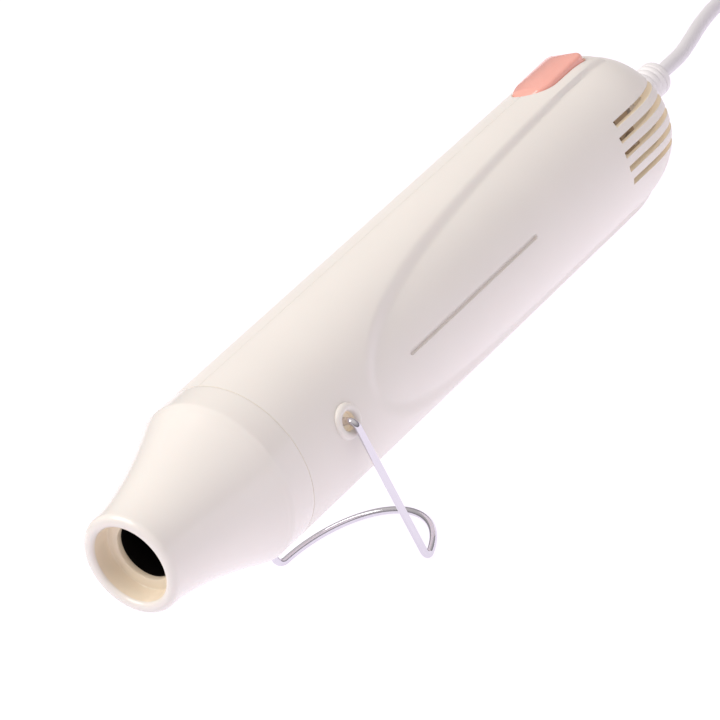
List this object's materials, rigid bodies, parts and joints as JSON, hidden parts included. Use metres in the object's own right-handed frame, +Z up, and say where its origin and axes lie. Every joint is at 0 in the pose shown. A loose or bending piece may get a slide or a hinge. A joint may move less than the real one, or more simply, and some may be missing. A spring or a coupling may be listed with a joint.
{
  "type": "embossing heat tool",
  "caption": "Slim hand-held hot air tool with a bell nozzle, folding wire stand, rocker switch and mains lead, parked nose up.",
  "frame": {"origin": "centre of the tool's footprint, without its lead, on the table that it is parked on", "axes": "+X from the nozzle towards the lead, +Y to the tool's right hand side seen from the lead end with the nozzle away, +Z up, with the tool pitched 7.9 degrees nose up on its wire stand"},
  "size_m": [0.3381, 0.0928, 0.0672],
  "materials": {
    "housing_plastic": "satin moulded",
    "nozzle_plastic": "glossy",
    "dark_steel": "heat darkened",
    "heater_steel": "rolled",
    "mica": "mica sheet",
    "heater_wire": "drawn",
    "ceramic": "unglazed",
    "brass_tabs": "stamped",
    "bright_steel": "zinc plated",
    "fan_plastic": "moulded",
    "copper_winding": "enamelled copper",
    "magnet": "sintered",
    "white_nylon": "moulded",
    "inner_plastic": "moulded",
    "board": "laminate",
    "black_plastic": "moulded",
    "capacitor_film": "dipped",
    "switch_plastic": "polished",
    "chrome_wire": "bright plated",
    "cord_boot": "soft moulded",
    "cord_sheath": "soft sheath",
    "screw_steel": "zinc plated",
    "lead_brown": "soft sheath",
    "lead_red": "soft sheath",
    "lead_blue": "soft sheath",
    "lead_yellow": "soft sheath",
    "plug_plastic": "moulded",
    "pin_metal": "nickel plated",
    "sleeve_plastic": "moulded"
  },
  "bodies": {
    "tool": {"housing_left": "housing_plastic", "housing_right": "housing_plastic", "nozzle": "nozzle_plastic", "outlet_cone": "dark_steel", "heater_shield": "heater_steel", "mica_sleeve": "mica", "mica_plate_flat": "mica", "mica_plate_upright": "mica", "heating_coil": "heater_wire", "front_insulator": "ceramic", "rear_insulator": "ceramic", "heater_terminals": "brass_tabs", "thermostat": "bright_steel", "thermal_fuse": "ceramic", "motor_magnets": "magnet", "motor_can": "bright_steel", "motor_end_cap": "white_nylon", "motor_terminals": "brass_tabs", "motor_holder": "inner_plastic", "rectifier_board": "board", "diodes": "black_plastic", "capacitor": "capacitor_film", "switch_body": "black_plastic", "switch_contacts": "brass_tabs", "strain_relief": "cord_boot", "cord_inner": "cord_sheath", "cord_clamp": "inner_plastic", "clamp_screws": "screw_steel", "housing_screws": "screw_steel", "lead_live": "lead_brown", "lead_switched": "lead_red", "lead_neutral": "lead_blue", "leads_motor": "lead_yellow", "cord": "cord_sheath", "cord_coil": "cord_sheath", "cord_tail": "cord_sheath", "plug_body": "plug_plastic", "plug_pins": "pin_metal", "pin_sleeves": "sleeve_plastic"},
    "stand": {"wire_stand": "chrome_wire"},
    "rotor": {"fan": "fan_plastic", "motor_shaft": "bright_steel", "motor_armature": "copper_winding"},
    "rocker": {"switch_rocker": "switch_plastic"}
  },
  "joints": [
    {"name": "stand_fold", "type": "hinge", "parent": "tool", "child": "stand", "pos_m": [-0.05692, 0, 0.04174], "axis": [0, 1, 0], "range_deg": [-26, 94]},
    {"name": "rotor_spin", "type": "hinge", "parent": "tool", "child": "rotor", "pos_m": [0.01419, 0, 0.03188], "axis": [0.9905, 0, -0.1374], "continuous": true},
    {"name": "switch_rock", "type": "hinge", "parent": "tool", "child": "rocker", "pos_m": [0.08089, 0, 0.03958], "axis": [0, 1, 0], "range_deg": [0, 8]}
  ]
}
